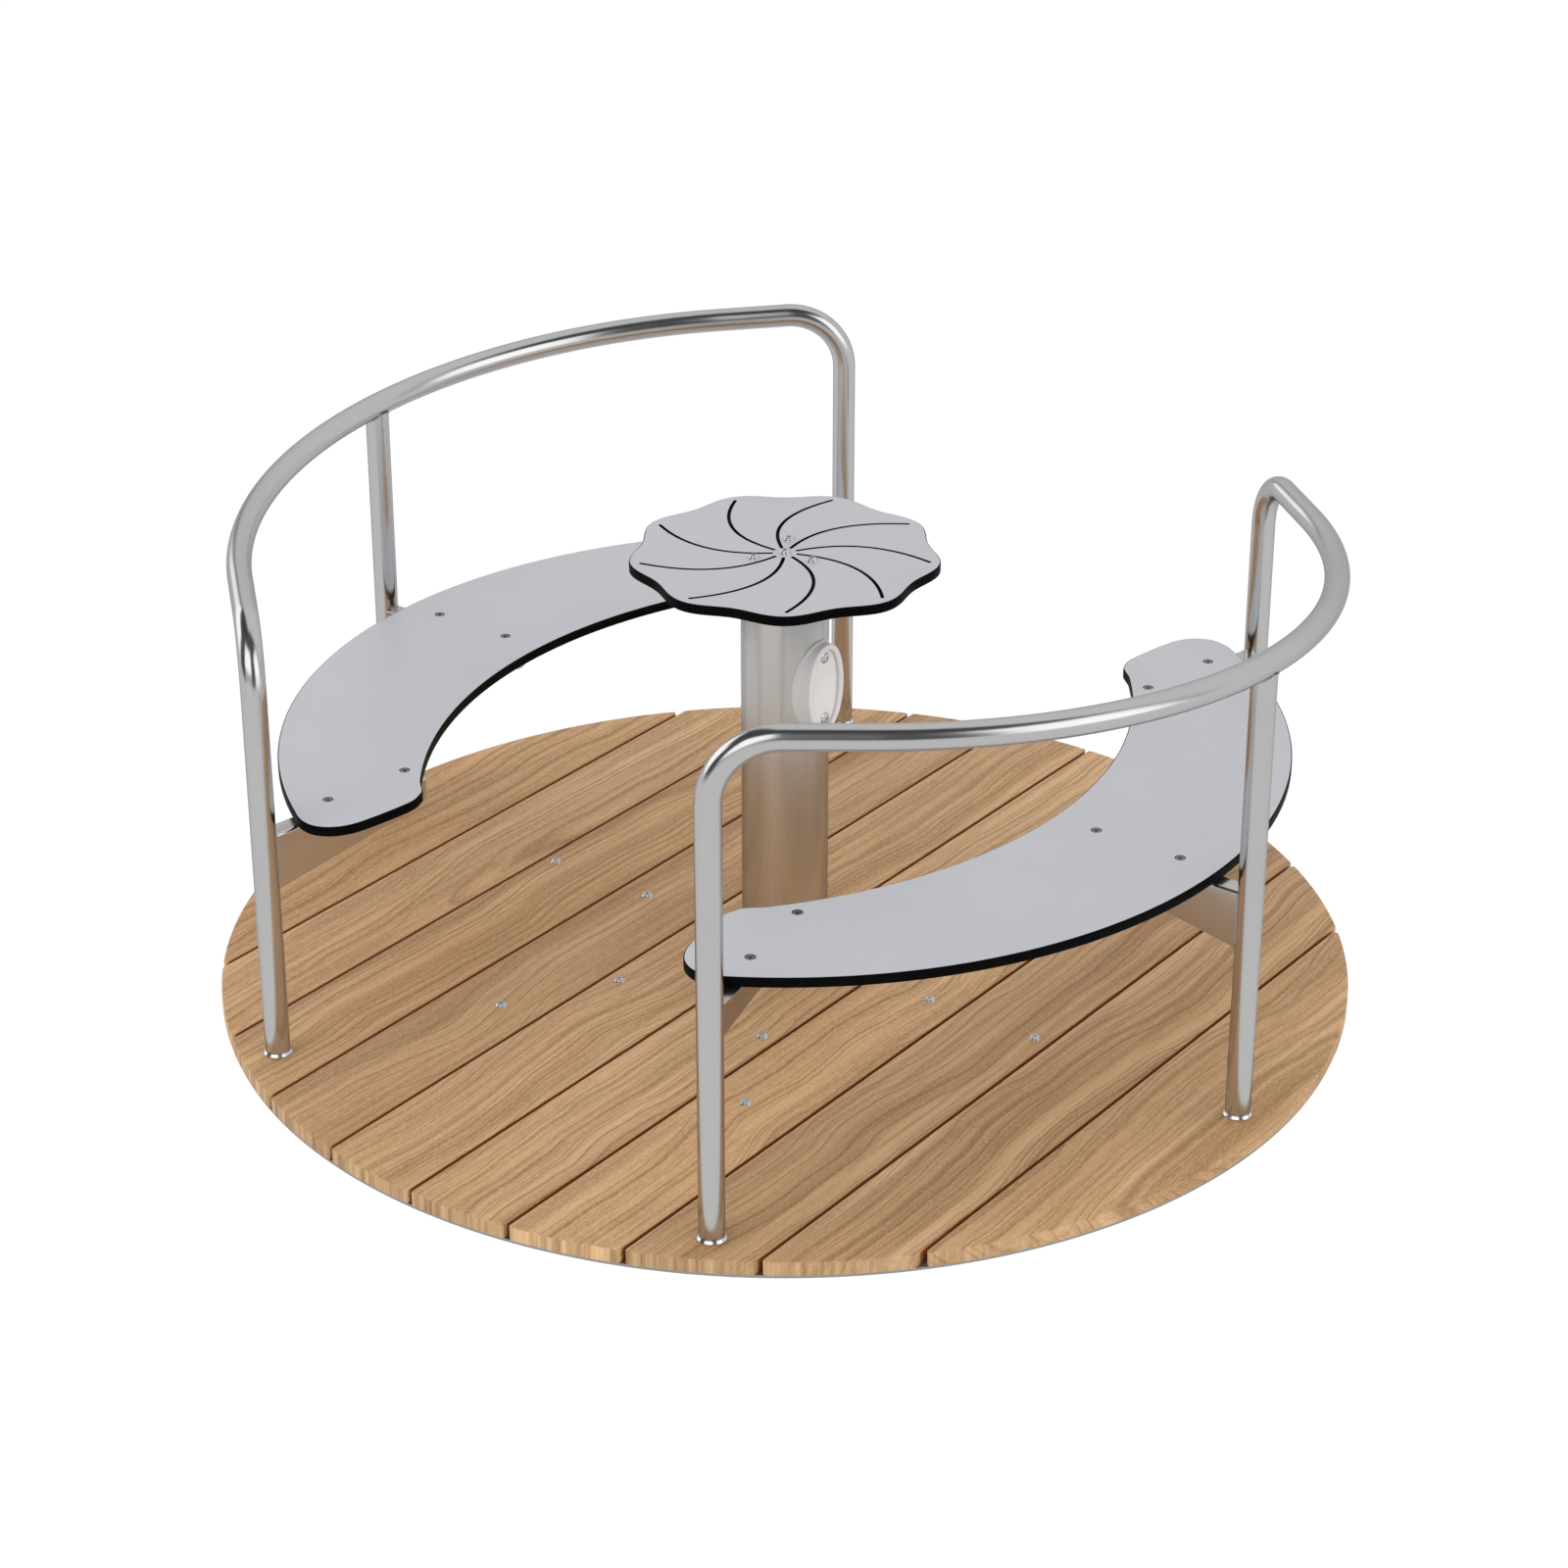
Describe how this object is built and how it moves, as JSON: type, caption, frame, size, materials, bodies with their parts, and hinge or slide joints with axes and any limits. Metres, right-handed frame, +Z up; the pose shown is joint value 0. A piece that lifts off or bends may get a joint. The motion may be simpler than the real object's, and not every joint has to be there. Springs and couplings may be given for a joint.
{
  "type": "playground merry-go-round",
  "caption": "Timber-decked playground merry-go-round turning around a fixed steel column with a lobed hand table, with curved benches and bent-tube handrails.",
  "frame": {"origin": "on the turning axis at ground level, at the centre of the base flange's underside", "axes": "+Z up along the turning axis; +Y along the deck planks; +X through the middle post of bench a"},
  "size_m": [1.5, 1.5, 0.7938],
  "materials": {
    "stainless": "satin brushed stainless tube and sheet",
    "fastener": "bright stainless screws",
    "galvanised": "dull galvanised steel",
    "bearing": "ground bearing steel",
    "cage": "machined brass cage with steel balls",
    "timber": "oiled hardwood, plain sawn",
    "panel": "satin light grey laminate with a black core",
    "rubber": "moulded black rubber",
    "plate": "moulded light grey plastic"
  },
  "bodies": {
    "stator": {"base_flange": "galvanised", "column_tube": "stainless", "axle_sleeve": "galvanised", "table_mount_plate": "stainless", "hand_table": "panel", "table_centre_screw": "fastener", "table_screw_1": "fastener", "table_screw_2": "fastener", "table_screw_3": "fastener", "label_plate": "plate", "label_screw_top": "fastener", "label_screw_bottom": "fastener", "lower_inner_ring": "bearing", "upper_inner_ring": "bearing"},
    "ball_cages": {"lower_ball_cage": "cage", "upper_ball_cage": "cage"},
    "platform": {"lower_outer_ring": "bearing", "upper_outer_ring": "bearing", "rotor_frame": "galvanised", "hub_seal": "rubber", "deck_disc": "galvanised", "plank_01": "timber", "plank_02": "timber", "plank_03": "timber", "plank_04": "timber", "plank_05": "timber", "plank_06": "timber", "plank_07": "timber", "plank_08": "timber", "plank_09": "timber", "plank_10": "timber", "deck_screw_pair_1": "fastener", "deck_screw_pair_2": "fastener", "deck_screw_pair_3": "fastener", "deck_screw_pair_4": "fastener", "deck_screw_pair_5": "fastener", "deck_screw_pair_6": "fastener", "handrail_a": "stainless", "handrail_b": "stainless", "post_collar_1": "stainless", "post_collar_2": "stainless", "post_collar_3": "stainless", "post_collar_4": "stainless", "post_collar_5": "stainless", "post_collar_6": "stainless", "seat_a": "panel", "seat_b": "panel", "seat_bracket_1": "stainless", "seat_bracket_2": "stainless", "seat_bracket_3": "stainless", "seat_bracket_4": "stainless", "seat_bracket_5": "stainless", "seat_bracket_6": "stainless", "seat_screw_pair_1": "fastener", "seat_screw_pair_2": "fastener", "seat_screw_pair_3": "fastener", "seat_screw_pair_4": "fastener", "seat_screw_pair_5": "fastener", "seat_screw_pair_6": "fastener"}
  },
  "joints": [
    {"name": "platform_spin", "type": "hinge", "parent": "stator", "child": "platform", "pos_m": [0, 0, 0.046], "axis": [0, 0, 1], "continuous": true},
    {"name": "ball_cage_spin", "type": "hinge", "parent": "stator", "child": "ball_cages", "pos_m": [0, 0, 0.046], "axis": [0, 0, 1], "continuous": true}
  ],
  "couplings": [
    {"joint": "ball_cage_spin", "follows": "platform_spin", "ratio": 0.56}
  ]
}
